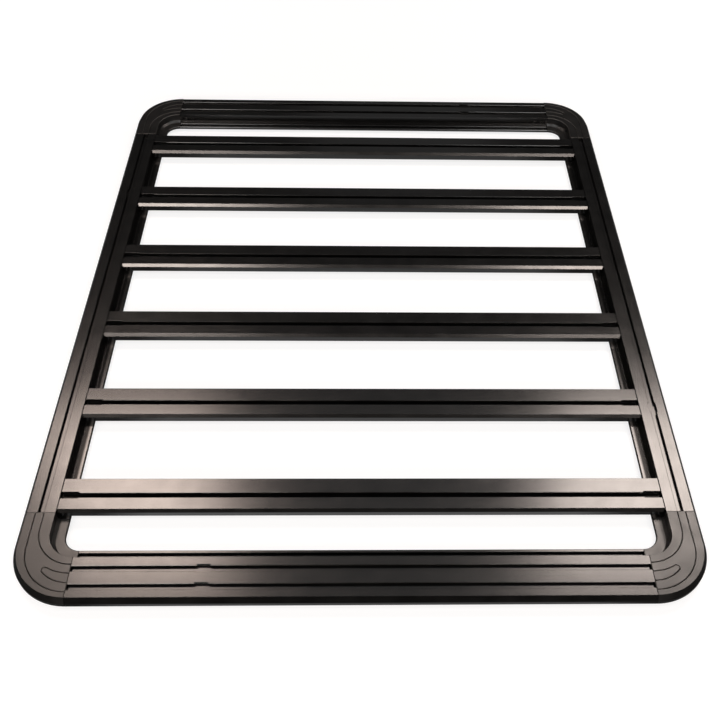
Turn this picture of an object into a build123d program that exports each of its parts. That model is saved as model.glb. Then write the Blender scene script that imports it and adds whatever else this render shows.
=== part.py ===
"""A flat platform roof rack: hollow slotted rails, moulded corners and six slotted cross slats.

Millimetres, +Z up, origin on the floor under the middle of the rack, front at -Y.
"""

import os

from build123d import *

os.makedirs("parts", exist_ok=True)

# Overall plan, measured over the flat deck
deck_width = 1227.0
deck_length = 1518.0
rail_height = 35.0

# Rail section: distances inward from the deck's outer edge, or down from its top
wall = 2.6
side_deck = 51.5
end_deck = 76.5
nose_flare = 7.5
nose_flank_drop = 10.5
nose_land = 8.0
nose_foot = 4.0
ledge_drop = 22.0
side_ledge = 21.5
end_ledge = 26.0
ledge_thickness = 9.0
ledge_undercut = 4.0
ledge_tip_bevel = 1.5
lip_bevel = 0.8

# Slots in the rails' decks
rail_slot_opening = 10.8
rail_slot_lip = 2.4
rail_slot_depth = 6.8
rail_channel_width = 17.0
side_slot_position = 25.3
end_slot_positions = (19.6, 54.4)

# Slot in the end rails' ledges, and groove in the side rails', measured from the inner wall
ledge_slot_position = 14.9
ledge_slot_opening = 9.6
ledge_slot_lip = 2.2
ledge_slot_depth = 6.2
ledge_channel_width = 13.0
side_groove_position = 6.6
side_groove_width = 3.6
side_groove_depth = 2.5

# Widened places where bolt heads enter the rail slots, measured from the middle of each rail
entry_width = 16.0
entry_length = 24.0
end_entry_offset = 280.0
side_entry_offset = 345.0

# Slats, the first and last set in from the deck's ends
slat_count = 6
slat_inset = 208.25
slat_deck = 65.6
slat_bevel_out = 4.4
slat_bevel_drop = 6.7
slat_tuck = 3.0
slat_end_gap = 1.5
slat_slot_offset = -3.0
slat_slot_opening = 10.0
slat_slot_lip = 3.0
slat_slot_depth = 9.5
slat_channel_width = 16.0
slat_entry_width = 14.5
slat_entry_length = 33.0

# Threaded plates in the slats' lower slots, and the bolts that pull them down onto the ledges
nut_plate_length = 40.0
nut_plate_thickness = 4.0
nut_plate_end_gap = 2.0
nut_plate_clearance = 0.4
bolt_position = 13.0
bolt_hole = 6.6
thread_hole = 5.0

# Moulded corners, measured from the deck's outer edges
corner_reach_x = 103.0
corner_reach_y = 168.0
corner_proud = 0.8
corner_foot_bevel = 5.0
corner_shell = 4.0
corner_end_wall = 6.0
corner_rib = 3.0
corner_rib_angles = (-70.0, -45.0, -20.0)
spigot_length = 70.0
spigot_clearance = 0.3

# Grooves in the corners' tops, which lead the end rails' two slots into the side rails' one
groove_width = 2.0
groove_depth = 1.6
outer_groove_side = 16.2
outer_groove_end = 10.4
inner_groove_side = 31.6
inner_groove_end = 62.5
hairpin_near = 27.5
hairpin_far = 45.5
hairpin_near_tip = (55.0, 48.0)
hairpin_far_tip = (60.5, 56.8)

# Places that follow from the sizes above
half_width = deck_width / 2
half_length = deck_length / 2
ledge_top = rail_height - ledge_drop
ledge_bottom = ledge_top - ledge_thickness
flank_bottom = rail_height - nose_flank_drop
land_bottom = flank_bottom - nose_land
joint_x = half_width - corner_reach_x
joint_y = half_length - corner_reach_y
slat_height = ledge_drop
slat_half_length = half_width - side_deck - slat_end_gap
slat_pitch = (deck_length - 2 * slat_inset) / (slat_count - 1)
slat_positions = [slat_inset - half_length + index * slat_pitch for index in range(slat_count)]
bolt_x = half_width - side_deck - bolt_position


def nose_lines(height):
    """Draw the flared outer wall, from the deck's edge at the given height down to the foot."""
    Polyline((0, height), (-nose_flare, flank_bottom), (-nose_flare, land_bottom), (nose_foot, 0))


def cut_slot(position, mouth, opening, lip, depth, channel, inward=-1):
    """Cut a T-shaped slot with bevelled lips into a section, downward or upward from its mouth."""
    align = (Align.CENTER, Align.MAX if inward < 0 else Align.MIN)
    left = position - opening / 2
    right = position + opening / 2
    Polygon(
        (left, mouth + inward * lip_bevel),
        (left - lip_bevel, mouth),
        (right + lip_bevel, mouth),
        (right, mouth + inward * lip_bevel),
        align=None,
        mode=Mode.SUBTRACT,
    )
    with Locations((position, mouth)):
        Rectangle(opening, lip, align=align, mode=Mode.SUBTRACT)
    with Locations((position, mouth + inward * lip)):
        Rectangle(channel, depth - lip, align=align, mode=Mode.SUBTRACT)


def make_rail(plane, length, deck, ledge, slots, ledge_slotted, entries):
    """Extrude one rail both ways from its section, then widen its deck slots at the entries."""
    with BuildPart() as rail:
        with BuildSketch(plane):
            with BuildLine():
                nose_lines(rail_height)
                Polyline((nose_foot, 0), (deck, 0), (deck, rail_height), (0, rail_height))
            make_face()
            chamber = offset(amount=-wall, kind=Kind.INTERSECTION, mode=Mode.PRIVATE)
            with BuildLine():
                Polyline(
                    (deck - wall, ledge_bottom),
                    (deck + ledge - ledge_undercut, ledge_bottom),
                    (deck + ledge, ledge_bottom + ledge_undercut),
                    (deck + ledge, ledge_top - ledge_tip_bevel),
                    (deck + ledge - ledge_tip_bevel, ledge_top),
                    (deck - wall, ledge_top),
                    close=True,
                )
            make_face()
            add(chamber, mode=Mode.SUBTRACT)
            for position in slots:
                with Locations((position, rail_height - wall)):
                    Rectangle(
                        rail_channel_width + 2 * wall,
                        rail_slot_depth,
                        align=(Align.CENTER, Align.MAX),
                    )
                cut_slot(
                    position,
                    rail_height,
                    rail_slot_opening,
                    rail_slot_lip,
                    rail_slot_depth,
                    rail_channel_width,
                )
            if ledge_slotted:
                cut_slot(
                    deck + ledge_slot_position,
                    ledge_top,
                    ledge_slot_opening,
                    ledge_slot_lip,
                    ledge_slot_depth,
                    ledge_channel_width,
                )
            else:
                with Locations((deck + side_groove_position, ledge_top)):
                    Rectangle(
                        side_groove_width,
                        side_groove_depth,
                        align=(Align.CENTER, Align.MAX),
                        mode=Mode.SUBTRACT,
                    )
        extrude(amount=length / 2, both=True)
        with BuildSketch(Plane.XY.offset(rail_height)):
            with Locations(*entries):
                if ledge_slotted:
                    Rectangle(entry_length, entry_width)
                else:
                    Rectangle(entry_width, entry_length)
        extrude(amount=-rail_slot_lip, mode=Mode.SUBTRACT)
        if not ledge_slotted:
            bolt_line = bolt_x if plane.origin.X > 0 else -bolt_x
            bolt_places = [(bolt_line, position + slat_slot_offset) for position in slat_positions]
            with BuildSketch(Plane.XY.offset(ledge_bottom)):
                with Locations(*bolt_places):
                    Circle(bolt_hole / 2)
            extrude(amount=ledge_thickness, mode=Mode.SUBTRACT)
    return rail


def make_slat(position):
    """Extrude one slat across the rack at the given distance from the middle."""
    plane = Plane(origin=(0, position, ledge_top), x_dir=(0, 1, 0), z_dir=(1, 0, 0))
    half_deck = slat_deck / 2
    half_waist = half_deck + slat_bevel_out
    half_foot = half_waist - slat_tuck
    waist_height = slat_height - slat_bevel_drop
    with BuildPart() as slat:
        with BuildSketch(plane):
            with BuildLine():
                Polyline(
                    (-half_foot, 0),
                    (half_foot, 0),
                    (half_waist, waist_height),
                    (half_deck, slat_height),
                    (-half_deck, slat_height),
                    (-half_waist, waist_height),
                    close=True,
                )
            make_face()
            chamber = offset(amount=-wall, kind=Kind.INTERSECTION, mode=Mode.PRIVATE)
            add(chamber, mode=Mode.SUBTRACT)
            with Locations((slat_slot_offset, 0)):
                Rectangle(slat_channel_width + 2 * wall, slat_height, align=(Align.CENTER, Align.MIN))
            for mouth, inward in ((slat_height, -1), (0, 1)):
                cut_slot(
                    slat_slot_offset,
                    mouth,
                    slat_slot_opening,
                    slat_slot_lip,
                    slat_slot_depth,
                    slat_channel_width,
                    inward,
                )
        extrude(amount=slat_half_length, both=True)
        with BuildSketch(Plane.XY.offset(rail_height)):
            for side in (-1, 1):
                with Locations((side * slat_half_length, position + slat_slot_offset)):
                    Rectangle(2 * slat_entry_length, slat_entry_width)
        extrude(amount=-slat_slot_lip, mode=Mode.SUBTRACT)
    return slat


def make_nut_plate(position, side):
    """Make the threaded plate on the lips of a slat's lower slot, at its left or right end."""
    middle = side * (slat_half_length - nut_plate_end_gap - nut_plate_length / 2)
    seat = Plane.XY.offset(ledge_top + slat_slot_lip)
    with BuildPart() as plate:
        with BuildSketch(seat):
            with Locations((middle, position + slat_slot_offset)):
                Rectangle(nut_plate_length, slat_channel_width - 2 * nut_plate_clearance)
            with Locations((side * bolt_x, position + slat_slot_offset)):
                Circle(thread_hole / 2, mode=Mode.SUBTRACT)
        extrude(amount=nut_plate_thickness)
    return plate


def nose_face(plane, top):
    """Make the face of the flared outer wall on the given plane."""
    with BuildSketch(plane) as face:
        with BuildLine():
            nose_lines(top)
            Polyline((nose_foot, 0), (2 * nose_foot, 0), (2 * nose_foot, top), (0, top))
        make_face()
    return face.sketch


def bend_lines(side, end):
    """Draw a line down the side and round the front right corner, at distances in from the deck's edges."""
    start = (half_width - side, -joint_y)
    finish = (joint_x, -half_length + end)
    radius = start[0] - finish[0]
    turn = (start[0], finish[1] + radius)
    Line(start, turn)
    TangentArc(turn, finish, tangent=(0, -1))
    return start, finish


def make_corner():
    """Model the front right corner moulding: a ribbed shell with spigots and a grooved top."""
    top = rail_height + corner_proud
    turn_y = -half_length + corner_reach_x
    bend_axis = Axis((joint_x, turn_y, 0), (0, 0, 1))
    side_start = Plane(origin=(half_width, -joint_y, 0), x_dir=(-1, 0, 0), z_dir=(0, 1, 0))
    side_turn = Plane(origin=(half_width, turn_y, 0), x_dir=(-1, 0, 0), z_dir=(0, 1, 0))
    spigot_height = rail_height - rail_slot_depth - 2 * wall - 2 * spigot_clearance
    spigot_inset = nose_foot + wall + spigot_clearance
    with BuildPart() as corner:
        # Outer wall, straight down the side and then round the bend
        extrude(nose_face(side_start, top), amount=turn_y + joint_y)
        revolve(nose_face(side_turn, top), axis=bend_axis, revolution_arc=-90)
        # Deck block
        with BuildSketch():
            with BuildLine():
                outer_start, outer_finish = bend_lines(nose_foot, nose_foot)
                inner_start, inner_finish = bend_lines(side_deck, end_deck)
                Line(outer_start, inner_start)
                Line(outer_finish, inner_finish)
            make_face()
        extrude(amount=top)
        # Ledge with an undercut tip, which slopes up into the deck block's wall
        with BuildSketch(Plane.XY.offset(ledge_bottom)):
            with BuildLine():
                wall_start, wall_finish = bend_lines(side_deck - wall, end_deck - wall)
                tip_start, tip_finish = bend_lines(side_deck + side_ledge, end_deck + end_ledge)
                Line(wall_start, tip_start)
                Line(wall_finish, tip_finish)
            make_face()
        extrude(amount=ledge_thickness)
        ledge_arcs = corner.edges().filter_by(GeomType.CIRCLE).group_by(Axis.Z)
        tip_arc, foot_arc = ledge_arcs.group(ledge_top).sort_by(SortBy.RADIUS)[:2]
        under_arc = ledge_arcs.group(ledge_bottom).sort_by(SortBy.RADIUS)[0]
        chamfer(foot_arc, corner_foot_bevel)
        chamfer(tip_arc, ledge_tip_bevel)
        chamfer(under_arc, ledge_undercut)
        # Pockets between ribs, open underneath
        with BuildSketch():
            with BuildLine():
                outer_start, outer_finish = bend_lines(nose_foot + corner_shell, nose_foot + corner_shell)
                inner_start, inner_finish = bend_lines(side_deck - corner_shell, end_deck - corner_shell)
                Line(outer_start, inner_start)
                Line(outer_finish, inner_finish)
            make_face()
            with Locations((half_width, -joint_y)):
                Rectangle(2 * side_deck, 2 * corner_end_wall, mode=Mode.SUBTRACT)
            with Locations((joint_x, -half_length)):
                Rectangle(2 * corner_end_wall, 2 * end_deck, mode=Mode.SUBTRACT)
            for angle in corner_rib_angles:
                with Locations(Location((joint_x, turn_y), angle)):
                    Rectangle(2 * corner_reach_x, corner_rib, mode=Mode.SUBTRACT)
        extrude(amount=top - corner_shell, mode=Mode.SUBTRACT)
        # Spigots that plug into the two rails
        with BuildSketch(Plane.XY.offset(wall + spigot_clearance)):
            with Locations((half_width - spigot_inset, -joint_y)):
                Rectangle(
                    side_deck - wall - spigot_clearance - spigot_inset,
                    spigot_length,
                    align=(Align.MAX, Align.MIN),
                )
            with Locations((joint_x, -half_length + spigot_inset)):
                Rectangle(
                    spigot_length,
                    end_deck - wall - spigot_clearance - spigot_inset,
                    align=(Align.MAX, Align.MIN),
                )
        extrude(amount=spigot_height)
        # Grooves along the bend, and the hairpin between the end rail's two slots
        with BuildSketch(Plane.XY.offset(top)):
            with BuildLine() as grooves:
                bend_lines(outer_groove_side, outer_groove_end)
                bend_lines(inner_groove_side, inner_groove_end)
                near_tip = (half_width - hairpin_near_tip[0], -half_length + hairpin_near_tip[1])
                far_tip = (half_width - hairpin_far_tip[0], -half_length + hairpin_far_tip[1])
                near_leg = TangentArc((joint_x, -half_length + hairpin_near), near_tip, tangent=(1, 0))
                TangentArc(near_tip, far_tip, tangent=near_leg % 1)
                TangentArc((joint_x, -half_length + hairpin_far), far_tip, tangent=(1, 0))
            trace(grooves.edges(), line_width=groove_width)
        extrude(amount=-groove_depth, mode=Mode.SUBTRACT)
    return corner


def save(name, piece):
    """Name a finished piece and write it."""
    piece.part.label = name
    export_step(piece.part, f"parts/{name}.step")


front_plane = Plane(origin=(0, -half_length, 0), x_dir=(0, 1, 0), z_dir=(1, 0, 0))
rear_plane = Plane(origin=(0, half_length, 0), x_dir=(0, -1, 0), z_dir=(-1, 0, 0))
left_plane = Plane(origin=(-half_width, 0, 0), x_dir=(1, 0, 0), z_dir=(0, -1, 0))
right_plane = Plane(origin=(half_width, 0, 0), x_dir=(-1, 0, 0), z_dir=(0, 1, 0))

front_entries = [(-end_entry_offset, -half_length + slot) for slot in end_slot_positions]
rear_entries = [(end_entry_offset, half_length - slot) for slot in end_slot_positions]
left_entries = [(-half_width + side_slot_position, side_entry_offset)]
right_entries = [(half_width - side_slot_position, -side_entry_offset)]
end_sizes = (2 * joint_x, end_deck, end_ledge, end_slot_positions, True)
side_sizes = (2 * joint_y, side_deck, side_ledge, (side_slot_position,), False)

save("front_rail", make_rail(front_plane, *end_sizes, front_entries))
save("rear_rail", make_rail(rear_plane, *end_sizes, rear_entries))
save("left_rail", make_rail(left_plane, *side_sizes, left_entries))
save("right_rail", make_rail(right_plane, *side_sizes, right_entries))

corner_front_right = make_corner()
with BuildPart() as corner_front_left:
    mirror(corner_front_right.part, about=Plane.YZ)
with BuildPart() as corner_rear_right:
    mirror(corner_front_right.part, about=Plane.XZ)
with BuildPart() as corner_rear_left:
    mirror(corner_front_left.part, about=Plane.XZ)
save("corner_front_right", corner_front_right)
save("corner_front_left", corner_front_left)
save("corner_rear_right", corner_rear_right)
save("corner_rear_left", corner_rear_left)

for number, slat_position in enumerate(slat_positions, 1):
    save(f"slat_{number}", make_slat(slat_position))
    save(f"slat_{number}_left_nut_plate", make_nut_plate(slat_position, -1))
    save(f"slat_{number}_right_nut_plate", make_nut_plate(slat_position, 1))
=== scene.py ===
"""Looks of the flat platform roof rack: finishes, fasteners, floor, studio lights and camera, in metres."""

import math

import bmesh
import bpy
from mathutils import Matrix, Vector


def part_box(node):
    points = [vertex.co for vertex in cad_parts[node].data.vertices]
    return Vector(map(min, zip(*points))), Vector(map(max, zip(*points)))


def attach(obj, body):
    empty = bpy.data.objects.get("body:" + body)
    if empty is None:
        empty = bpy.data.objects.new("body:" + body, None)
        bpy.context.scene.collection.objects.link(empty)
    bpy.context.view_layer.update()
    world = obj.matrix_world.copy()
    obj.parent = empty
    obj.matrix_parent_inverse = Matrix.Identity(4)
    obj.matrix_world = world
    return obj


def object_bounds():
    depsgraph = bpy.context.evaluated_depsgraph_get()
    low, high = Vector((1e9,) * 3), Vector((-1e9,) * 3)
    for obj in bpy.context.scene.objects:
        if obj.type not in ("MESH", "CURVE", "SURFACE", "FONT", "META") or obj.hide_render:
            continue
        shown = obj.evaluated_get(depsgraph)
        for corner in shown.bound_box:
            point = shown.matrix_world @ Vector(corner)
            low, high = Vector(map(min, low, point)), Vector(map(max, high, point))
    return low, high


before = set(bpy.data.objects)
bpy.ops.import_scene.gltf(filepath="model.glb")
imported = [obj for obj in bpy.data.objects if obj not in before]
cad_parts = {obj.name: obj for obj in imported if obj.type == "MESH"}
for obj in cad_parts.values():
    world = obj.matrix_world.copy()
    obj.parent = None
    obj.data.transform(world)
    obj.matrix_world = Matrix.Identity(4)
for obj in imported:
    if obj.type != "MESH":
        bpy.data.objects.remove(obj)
cad_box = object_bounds()

# Finishes: linear colours, and the spread of each roughness
resin_index = 1.6
coat_dark = (0.0028, 0.0028, 0.0028)
coat_pale = (0.0048, 0.0048, 0.0048)
coat_roughness = (0.19, 0.23)
die_line_roughness = 0.012
moulding_dark = (0.0040, 0.0040, 0.0040)
moulding_pale = (0.0075, 0.0075, 0.0075)
moulding_roughness = (0.32, 0.40)
# Painted highlight colour for the corners' groove walls
painted_groove_highlight = (0.14, 0.135, 0.13)
zinc_dark = (0.46, 0.47, 0.48)
zinc_pale = (0.66, 0.65, 0.60)
black_zinc_dark = (0.020, 0.020, 0.022)
black_zinc_pale = (0.050, 0.049, 0.046)
zinc_roughness = (0.28, 0.42)
plain_specular = 0.5
shaded_specular = 0.05

# Noises: about how many features a metre, and their detail
coat_mottle = (26.0, 4.0)
coat_peel = (1500.0, 2.0)
die_lines = (420.0, 3.0)
die_line_stretch = 0.006
moulding_mottle = (34.0, 4.0)
moulding_sparks = (1800.0, 3.0)
zinc_patches = (180.0, 5.0)
zinc_scratches = (2600.0, 2.0)
scratch_stretch = 0.08
noise_middle = (0.3, 0.7)
texture_depth = 0.000008
scratch_depth = 0.000004

# Edges that the finishes round, and the places that they shade: heights, slopes and reaches
coat_edge_round = 0.0009
moulding_edge_round = 0.0010
bevel_samples = 4
level_slopes = (0.9, 1.1)
upright_slopes = (-0.1, 0.1)
flank_slopes = (0.3, 0.9)
flank_band = (0.0240, 0.0357)
flank_shade = 0.75
nose_flare = 0.0075
slot_floor_band = (0.0240, 0.0270)
groove_floor_band = (0.0335, 0.0353)
groove_wall_band = (0.0343, 0.0360)
ledge_band = (0.0120, 0.0135)
ledge_lip = (0.0040, 0.0080)
ledge_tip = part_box("right_rail")[0].x
joint_half = (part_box("front_rail")[1].x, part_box("right_rail")[1].y)
joint_seam = 0.0009

# Ledge bolts: M6 button heads under the side rails' ledges
slat_count = 6
slat_end_gap = 0.0015
ledge_bottom = 0.004
bolt_end = 0.022
bolt_inset = 0.013
bolt_head_radius = 0.00525
bolt_head_height = 0.0033
bolt_socket = 0.0020
bolt_socket_depth = 0.0016
thread_radius = 0.0030
thread_root = 0.00255
thread_pitch = 0.0010
thread_start = 0.75
thread_tip = 0.8

# Screws through the end rails' inner walls into the corners, measured from each joint
end_deck = 0.0765
screw_steps = (0.0155, 0.035)
screw_height = 0.0225
screw_head_radius = 0.0038
screw_head_height = 0.0024
screw_socket = 0.00125
screw_socket_depth = 0.0012

# Button heads: shares of the head's radius and height, and of the socket's size and depth
head_seat = 0.96
head_rim = 0.10
head_flat = 1.35
socket_mouth = 1.06
socket_tip = 0.3
socket_tip_depth = 1.25
dome_steps = 5
ring_points = 24
smooth_angle_deg = 35.0

# Camera, solved from the photograph's straight edges
camera_place = (-0.000513, -1.470229, 1.455877)
camera_turn_deg = (41.28065, -1.25375, -0.90838)
focal_px = 895.248
principal_px = (387.924, 361.610)
picture_px = 720
sensor_mm = 36.0

# Floor: its form, its grey, and its glow near the rack and far away, to the eye and in reflections
floor_reach = 6.0
cove_rise = 2.2
cove_steps = 12
floor_sides = 96
weld_distance = 0.00001
floor_grey = 0.28
floor_glow = (0.79, 1.0)
floor_glow_reach = (0.9, 2.6)
# Painted pool of light in the floor's reflected image, and painted shade on it beside the side rails
floor_mirrored = (0.45, 0.025)
floor_mirrored_reach = (0.9, 2.2)
floor_side_reach = (0.40, 0.50)
floor_side_level = 0.2

# Lamps: name, place, aim, width and height, radiance and colour
room_level = 0.04
neutral = (1.0, 1.0, 1.0)
warm = (1.0, 0.87, 0.79)
warmer = (1.0, 0.82, 0.72)
lamps = (
    ("rear_right", (1.44, 0.96, 2.39), (1.44, -0.04, 1.89), (0.98, 0.92), 15.8, warm),
    ("rear_left", (-1.13, 0.96, 2.44), (-1.13, -0.04, 1.94), (0.80, 0.92), 15.0, warmer),
    ("overhead", (0.0, 1.10, 2.6), (0.0, 1.10, 0.0), (4.6, 1.5), 0.27, neutral),
    ("ceiling_right", (1.1, -1.15, 2.9), (0.6, 0.3, 0.0), (0.8, 0.8), 6.8, neutral),
    ("ceiling_left", (-1.1, -1.15, 2.9), (-0.6, 0.3, 0.0), (0.8, 0.8), 6.8, neutral),
    ("back_glow", (0.3, 4.6, 2.6), (0.1, 0.7, 0.0), (1.4, 1.2), 0.17, neutral),
    ("front_right", (1.7, -3.5, 1.85), (0.85, 0.0, 0.0), (1.3, 0.7), 21.0, warm),
    ("front_left", (-1.5, -3.5, 1.85), (-0.75, 0.0, 0.0), (1.3, 0.7), 22.5, warm),
)


def add_node(tree, kind, **settings):
    """Add a shader node, with its plain settings and the values of its named inputs."""
    node = tree.nodes.new(kind)
    for key, value in settings.items():
        if key in node.bl_rna.properties:
            setattr(node, key, value)
        else:
            node.inputs[key.replace("_", " ")].default_value = value
    return node


def new_material(name):
    """Make a node material and return it with its tree and surface shader."""
    material = bpy.data.materials.new(name)
    material.use_nodes = True
    tree = material.node_tree
    return material, tree, tree.nodes["Principled BSDF"]


def maths(tree, operation, *values):
    """Work on one to three values, each a number or another node's output."""
    node = add_node(tree, "ShaderNodeMath", operation=operation)
    for socket, value in zip(node.inputs, values):
        if isinstance(value, (int, float)):
            socket.default_value = value
        else:
            tree.links.new(value, socket)
    return node.outputs["Value"]


def fade(tree, value, reach, levels):
    """Go from the first level to the second as a value passes through its reach."""
    node = add_node(tree, "ShaderNodeMapRange")
    for key, number in zip(("From Min", "From Max", "To Min", "To Max"), (*reach, *levels)):
        node.inputs[key].default_value = number
    tree.links.new(value, node.inputs["Value"])
    return node.outputs["Result"]


def mix_colours(tree, factor, first, second):
    """Mix two colours by a factor, each a plain colour or another node's output."""
    node = add_node(tree, "ShaderNodeMix", data_type="RGBA")
    tree.links.new(factor, node.inputs["Factor"])
    for key, colour in (("A", first), ("B", second)):
        if isinstance(colour, tuple):
            node.inputs[key].default_value = (*colour, 1.0)
        else:
            tree.links.new(colour, node.inputs[key])
    return node.outputs["Result"]


def grain(tree, scale, detail, stretch=(1.0, 1.0, 1.0)):
    """Add noise in the rack's own metres, with about this many features a metre, stretched along an axis."""
    place = add_node(tree, "ShaderNodeTexCoord")
    mapping = add_node(tree, "ShaderNodeMapping", Scale=stretch)
    noise = add_node(tree, "ShaderNodeTexNoise", Scale=scale, Detail=detail)
    tree.links.new(place.outputs["Object"], mapping.inputs["Vector"])
    tree.links.new(mapping.outputs["Vector"], noise.inputs["Vector"])
    return noise.outputs["Fac"]


def spread(tree, noise, low, high):
    """Map the middle of a noise to the range from low to high."""
    return fade(tree, noise, noise_middle, (low, high))


def tint(tree, noise, dark, pale):
    """Blend two colours by a noise."""
    return mix_colours(tree, spread(tree, noise, 0.0, 1.0), dark, pale)


def bump(tree, height, depth, below=None):
    """Add a bump of the given depth in metres, over other normals if there are any."""
    node = add_node(tree, "ShaderNodeBump", Strength=1.0, Distance=depth)
    tree.links.new(height, node.inputs["Height"])
    if below:
        tree.links.new(below, node.inputs["Normal"])
    return node.outputs["Normal"]


def round_edges(tree, radius):
    """Normals that round the sharp edges by this radius."""
    node = add_node(tree, "ShaderNodeBevel", samples=bevel_samples, Radius=radius)
    return node.outputs["Normal"]


def position(tree):
    """The three outputs of the place on the rack, in metres."""
    place = add_node(tree, "ShaderNodeTexCoord")
    split = add_node(tree, "ShaderNodeSeparateXYZ")
    tree.links.new(place.outputs["Object"], split.inputs["Vector"])
    return split.outputs


def within(tree, value, low, high):
    """One where a value lies between two limits, and nought elsewhere."""
    above = maths(tree, "GREATER_THAN", value, low)
    return maths(tree, "MULTIPLY", above, maths(tree, "LESS_THAN", value, high))


def facing(tree, heights, slopes):
    """One on faces between two heights whose normals rise within two limits, and nought elsewhere."""
    geometry = add_node(tree, "ShaderNodeNewGeometry")
    split = add_node(tree, "ShaderNodeSeparateXYZ")
    tree.links.new(geometry.outputs["True Normal"], split.inputs["Vector"])
    height = within(tree, position(tree)["Z"], *heights)
    return maths(tree, "MULTIPLY", height, within(tree, split.outputs["Z"], *slopes))


def paint_shade(tree, shader, shade):
    """Paint shade by dulling the reflections where shade is one, as in a deep slot or a seam."""
    level = maths(tree, "MULTIPLY_ADD", shade, shaded_specular - plain_specular, plain_specular)
    tree.links.new(level, shader.inputs["Specular IOR Level"])


def coat_material(name, along):
    """Satin black powder coat over an extrusion whose faint die lines run along one axis."""
    material, tree, shader = new_material(name)
    stretch = [1.0, 1.0, 1.0]
    stretch[along] = die_line_stretch
    mottle = grain(tree, *coat_mottle)
    lines = grain(tree, *die_lines, stretch)
    peel = grain(tree, *coat_peel)
    tree.links.new(tint(tree, mottle, coat_dark, coat_pale), shader.inputs["Base Color"])
    gloss = spread(tree, mottle, *coat_roughness)
    gloss = maths(tree, "ADD", gloss, spread(tree, lines, 0.0, die_line_roughness))
    tree.links.new(gloss, shader.inputs["Roughness"])
    shader.inputs["IOR"].default_value = resin_index
    normal = bump(tree, peel, texture_depth, round_edges(tree, coat_edge_round))
    tree.links.new(normal, shader.inputs["Normal"])
    # The slots' floors lie in shade, and painted shade dulls the reflections on the flared flank
    place = position(tree)
    shade = facing(tree, slot_floor_band, level_slopes)
    flank = maths(tree, "MULTIPLY", facing(tree, flank_band, flank_slopes), flank_shade)
    for axis, half in zip("XY", cad_box[1]):
        outside = maths(tree, "GREATER_THAN", maths(tree, "ABSOLUTE", place[axis]), half - nose_flare)
        shade = maths(tree, "MAXIMUM", shade, maths(tree, "MULTIPLY", flank, outside))
    # Painted shade dulls the reflections at the back of the side rails' ledges
    behind_lip = [ledge_tip + lip for lip in ledge_lip]
    behind = fade(tree, maths(tree, "ABSOLUTE", place["X"]), behind_lip, (0.0, 1.0))
    ledge = maths(tree, "MULTIPLY", facing(tree, ledge_band, level_slopes), behind)
    paint_shade(tree, shader, maths(tree, "MAXIMUM", shade, ledge))
    return material


def moulding_material(name):
    """Black moulded corners with a fine sparked texture."""
    material, tree, shader = new_material(name)
    mottle = grain(tree, *moulding_mottle)
    sparks = grain(tree, *moulding_sparks)
    # A painted highlight colours the steep walls of the grooves pale
    groove_walls = facing(tree, groove_wall_band, upright_slopes)
    colour = mix_colours(tree, groove_walls, tint(tree, mottle, moulding_dark, moulding_pale), painted_groove_highlight)
    tree.links.new(colour, shader.inputs["Base Color"])
    tree.links.new(spread(tree, mottle, *moulding_roughness), shader.inputs["Roughness"])
    shader.inputs["IOR"].default_value = resin_index
    normal = bump(tree, sparks, texture_depth, round_edges(tree, moulding_edge_round))
    tree.links.new(normal, shader.inputs["Normal"])
    # The groove floors and the seams at the rails lie in shade, and painted shade dulls the reflections on
    # the flared flank
    place = position(tree)
    shade = facing(tree, groove_floor_band, level_slopes)
    flank = maths(tree, "MULTIPLY", facing(tree, flank_band, flank_slopes), flank_shade)
    shade = maths(tree, "MAXIMUM", shade, flank)
    for axis, half in zip("XY", joint_half):
        seam = maths(tree, "LESS_THAN", maths(tree, "ABSOLUTE", place[axis]), half + joint_seam)
        shade = maths(tree, "MAXIMUM", shade, seam)
    paint_shade(tree, shader, shade)
    return material


def zinc_material(name, dark, pale):
    """Zinc plated steel with a patchy passivation between two colours."""
    material, tree, shader = new_material(name)
    patches = grain(tree, *zinc_patches)
    scratches = grain(tree, *zinc_scratches, (1.0, scratch_stretch, 1.0))
    tree.links.new(tint(tree, patches, dark, pale), shader.inputs["Base Color"])
    tree.links.new(spread(tree, scratches, *zinc_roughness), shader.inputs["Roughness"])
    tree.links.new(bump(tree, scratches, scratch_depth), shader.inputs["Normal"])
    shader.inputs["Metallic"].default_value = 1.0
    return material


def dress_nodes(coat_across, coat_lengthwise, moulding, zinc):
    """Give each node of the rack its finish."""
    for name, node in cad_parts.items():
        if name.endswith("nut_plate"):
            finish = zinc
        elif name.startswith("corner"):
            finish = moulding
        elif name in ("left_rail", "right_rail"):
            finish = coat_lengthwise
        else:
            finish = coat_across
        node.data.materials.clear()
        node.data.materials.append(finish)


def round_ring(radius):
    """Points of a circle about the axis."""
    turns = [2 * math.pi * index / ring_points for index in range(ring_points)]
    return [(radius * math.cos(turn), radius * math.sin(turn)) for turn in turns]


def hex_ring(flat):
    """Points of a hexagon with this distance from its middle to its flats, as many as a circle has."""
    points = []
    for x, y in round_ring(1.0):
        turn = math.atan2(y, x) % (math.pi / 3) - math.pi / 6
        reach = flat / math.cos(turn)
        points.append((reach * x, reach * y))
    return points


def button_head(radius, height, socket, socket_depth):
    """Rings of a domed head with a hexagon socket, from its seat upward."""
    rings = [(round_ring(head_seat * radius), 0.0), (round_ring(radius), head_rim * height)]
    flat = head_flat * socket
    for step in range(1, dome_steps + 1):
        turn = math.pi / 2 * step / dome_steps
        reach = flat + (radius - flat) * math.cos(turn)
        rings.append((round_ring(reach), height * (head_rim + (1 - head_rim) * math.sin(turn))))
    rings.append((hex_ring(socket_mouth * socket), height))
    rings.append((hex_ring(socket), height - (socket_mouth - 1) * socket))
    rings.append((hex_ring(socket), height - socket_depth))
    rings.append((round_ring(socket_tip * socket), height - socket_tip_depth * socket_depth))
    return rings


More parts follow.
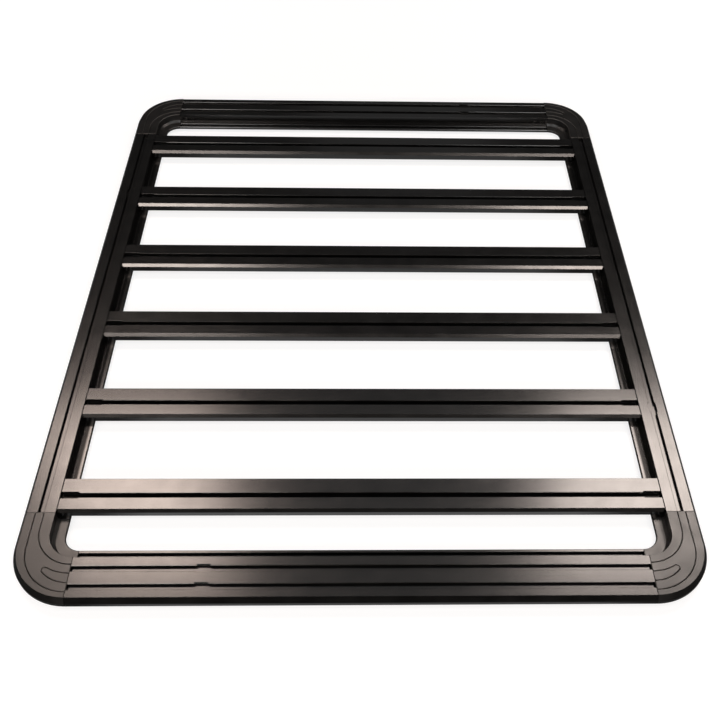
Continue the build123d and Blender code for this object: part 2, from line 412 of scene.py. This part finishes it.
def thread_rings(length):
    """Rings of a threaded shank below a head, from its tip up to the seat."""
    rings = [(round_ring(thread_tip * thread_root), -length)]
    for index in range(int(length / thread_pitch)):
        crest = -length + (index + thread_start) * thread_pitch
        rings.append((round_ring(thread_radius), crest))
        rings.append((round_ring(thread_root), crest + thread_pitch / 2))
    return rings


def add_stack(mesh, rings, placing):
    """Skin a stack of rings, each a list of points and a height, close both ends and place it."""
    loops = []
    for points, height in rings:
        loops.append([mesh.verts.new(placing @ Vector((x, y, height))) for x, y in points])
    for lower, upper in zip(loops, loops[1:]):
        for index in range(ring_points):
            after = (index + 1) % ring_points
            mesh.faces.new((lower[index], lower[after], upper[after], upper[index]))
    mesh.faces.new(list(reversed(loops[0])))
    mesh.faces.new(loops[-1])


def finish_piece(name, mesh, material):
    """Turn a built mesh into a shaded piece of the rack."""
    bmesh.ops.recalc_face_normals(mesh, faces=mesh.faces)
    data = bpy.data.meshes.new(name)
    mesh.to_mesh(data)
    mesh.free()
    data.materials.append(material)
    piece = bpy.data.objects.new(name, data)
    bpy.context.collection.objects.link(piece)
    data.shade_smooth()
    data.set_sharp_from_angle(angle=math.radians(smooth_angle_deg))
    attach(piece, "root")


def make_ledge_bolts(material):
    """One bolt under each end of each slat, up through the ledge into the slat's nut plate."""
    mesh = bmesh.new()
    for side, word in ((-1, "left"), (1, "right")):
        for number in range(1, slat_count + 1):
            low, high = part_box(f"slat_{number}_{word}_nut_plate")
            slat_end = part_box(f"slat_{number}")[1].x
            across = side * (slat_end + slat_end_gap - bolt_inset)
            along = (low.y + high.y) / 2
            downward = Matrix.Translation((across, along, ledge_bottom)) @ Matrix.Rotation(math.pi, 4, "X")
            rings = thread_rings(bolt_end - ledge_bottom)
            rings += button_head(bolt_head_radius, bolt_head_height, bolt_socket, bolt_socket_depth)
            add_stack(mesh, rings, downward)
    finish_piece("ledge_bolts", mesh, material)


def make_corner_screws(material):
    """Two screws near each end of the end rails' inner walls."""
    mesh = bmesh.new()
    for name, toward in (("front_rail", 1), ("rear_rail", -1)):
        low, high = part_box(name)
        outer = low.y if toward > 0 else high.y
        wall = outer + toward * (nose_flare + end_deck)
        inward = Matrix.Rotation(-toward * math.pi / 2, 4, "X")
        for side in (-1, 1):
            for step in screw_steps:
                place = Matrix.Translation((side * (high.x - step), wall, screw_height))
                rings = button_head(screw_head_radius, screw_head_height, screw_socket, screw_socket_depth)
                add_stack(mesh, rings, place @ inward)
    finish_piece("corner_screws", mesh, material)


def floor_material():
    """Pale floor that shows white to the eye, less the rack's own shadow, and to reflections a painted pool
    of light that fades.
    """
    material = bpy.data.materials.new("floor")
    material.use_nodes = True
    tree = material.node_tree
    tree.nodes.clear()
    link = tree.links.new
    path = add_node(tree, "ShaderNodeLightPath")
    place = add_node(tree, "ShaderNodeTexCoord")
    distance = add_node(tree, "ShaderNodeVectorMath", operation="LENGTH")
    link(place.outputs["Object"], distance.inputs[0])
    # To the eye the glow grows away from the rack, as the lamps fall off
    diffuse = add_node(tree, "ShaderNodeBsdfDiffuse", Color=(floor_grey, floor_grey, floor_grey, 1.0))
    glow = add_node(tree, "ShaderNodeEmission")
    seen = maths(tree, "MAXIMUM", path.outputs["Is Camera Ray"], path.outputs["Is Transmission Ray"])
    level = fade(tree, distance.outputs["Value"], floor_glow_reach, floor_glow)
    link(maths(tree, "MULTIPLY", seen, level), glow.inputs["Strength"])
    plain = add_node(tree, "ShaderNodeAddShader")
    link(diffuse.outputs["BSDF"], plain.inputs[0])
    link(glow.outputs["Emission"], plain.inputs[1])
    # In reflections a painted pool of light fades away from the rack, and painted shade darkens it beside
    # the side rails
    image = add_node(tree, "ShaderNodeEmission")
    level = fade(tree, distance.outputs["Value"], floor_mirrored_reach, floor_mirrored)
    across = maths(tree, "ABSOLUTE", position(tree)["X"])
    beside = fade(tree, across, floor_side_reach, (1.0, floor_side_level))
    link(maths(tree, "MULTIPLY", level, beside), image.inputs["Strength"])
    above = add_node(tree, "ShaderNodeMixShader")
    link(path.outputs["Is Glossy Ray"], above.inputs["Fac"])
    link(plain.outputs["Shader"], above.inputs[1])
    link(image.outputs["Emission"], above.inputs[2])
    # Seen from below it is clear, so that the underside can be looked at
    clear = add_node(tree, "ShaderNodeBsdfTransparent")
    sides = add_node(tree, "ShaderNodeMixShader")
    geometry = add_node(tree, "ShaderNodeNewGeometry")
    link(geometry.outputs["Backfacing"], sides.inputs["Fac"])
    link(above.outputs["Shader"], sides.inputs[1])
    link(clear.outputs["BSDF"], sides.inputs[2])
    output = add_node(tree, "ShaderNodeOutputMaterial")
    link(sides.outputs["Shader"], output.inputs["Surface"])
    return material


def make_floor():
    """A round floor that curves up into a low cove all round."""
    mesh = bmesh.new()
    profile = [(0.0, 0.0), (floor_reach, 0.0)]
    for step in range(1, cove_steps + 1):
        turn = math.pi / 2 * step / cove_steps
        profile.append((floor_reach + cove_rise * math.sin(turn), cove_rise * (1 - math.cos(turn))))
    points = [mesh.verts.new((reach, 0.0, height)) for reach, height in profile]
    edges = [mesh.edges.new(pair) for pair in zip(points, points[1:])]
    bmesh.ops.spin(
        mesh, geom=points + edges, cent=(0, 0, 0), axis=(0, 0, 1), angle=2 * math.pi, steps=floor_sides
    )
    bmesh.ops.remove_doubles(mesh, verts=mesh.verts, dist=weld_distance)
    bmesh.ops.recalc_face_normals(mesh, faces=mesh.faces)
    data = bpy.data.meshes.new("floor")
    mesh.to_mesh(data)
    mesh.free()
    if data.polygons[0].normal.z < 0:
        data.flip_normals()
    data.shade_smooth()
    data.materials.append(floor_material())
    floor = bpy.data.objects.new("floor", data)
    bpy.context.collection.objects.link(floor)


def make_lamp(name, place, aim, size, radiance, colour):
    """A soft box of the given width and height, brightness and aim."""
    light = bpy.data.lights.new(name, "AREA")
    light.shape = "RECTANGLE"
    light.size, light.size_y = size
    light.energy = radiance * math.pi * size[0] * size[1]
    light.color = colour
    lamp = bpy.data.objects.new(name, light)
    lamp.location = place
    lamp.rotation_euler = (Vector(aim) - Vector(place)).to_track_quat("-Z", "Y").to_euler()
    bpy.context.collection.objects.link(lamp)


def make_world():
    """A room that is white to the eye and dim to the rack."""
    world = bpy.data.worlds.new("studio")
    world.use_nodes = True
    tree = world.node_tree
    background = tree.nodes["Background"]
    background.inputs["Color"].default_value = (*neutral, 1.0)
    path = add_node(tree, "ShaderNodeLightPath")
    strength = maths(tree, "MAXIMUM", path.outputs["Is Camera Ray"], room_level)
    tree.links.new(strength, background.inputs["Strength"])
    bpy.context.scene.world = world


def make_camera():
    """The photograph's camera: its place, turn, lens and off-centre framing."""
    data = bpy.data.cameras.new("camera")
    data.sensor_width = sensor_mm
    data.lens = focal_px / picture_px * sensor_mm
    data.shift_x = (picture_px / 2 - principal_px[0]) / picture_px
    data.shift_y = (principal_px[1] - picture_px / 2) / picture_px
    camera = bpy.data.objects.new("camera", data)
    camera.location = camera_place
    camera.rotation_euler = [math.radians(angle) for angle in camera_turn_deg]
    bpy.context.collection.objects.link(camera)
    bpy.context.scene.camera = camera


zinc = zinc_material("zinc", zinc_dark, zinc_pale)
black_zinc = zinc_material("black_zinc", black_zinc_dark, black_zinc_pale)
dress_nodes(
    coat_material("coat_across", 0), coat_material("coat_lengthwise", 1), moulding_material("moulding"), zinc
)
make_ledge_bolts(zinc)
make_corner_screws(black_zinc)
make_floor()
for lamp in lamps:
    make_lamp(*lamp)
make_world()
make_camera()
bpy.context.scene.view_settings.view_transform = "Standard"
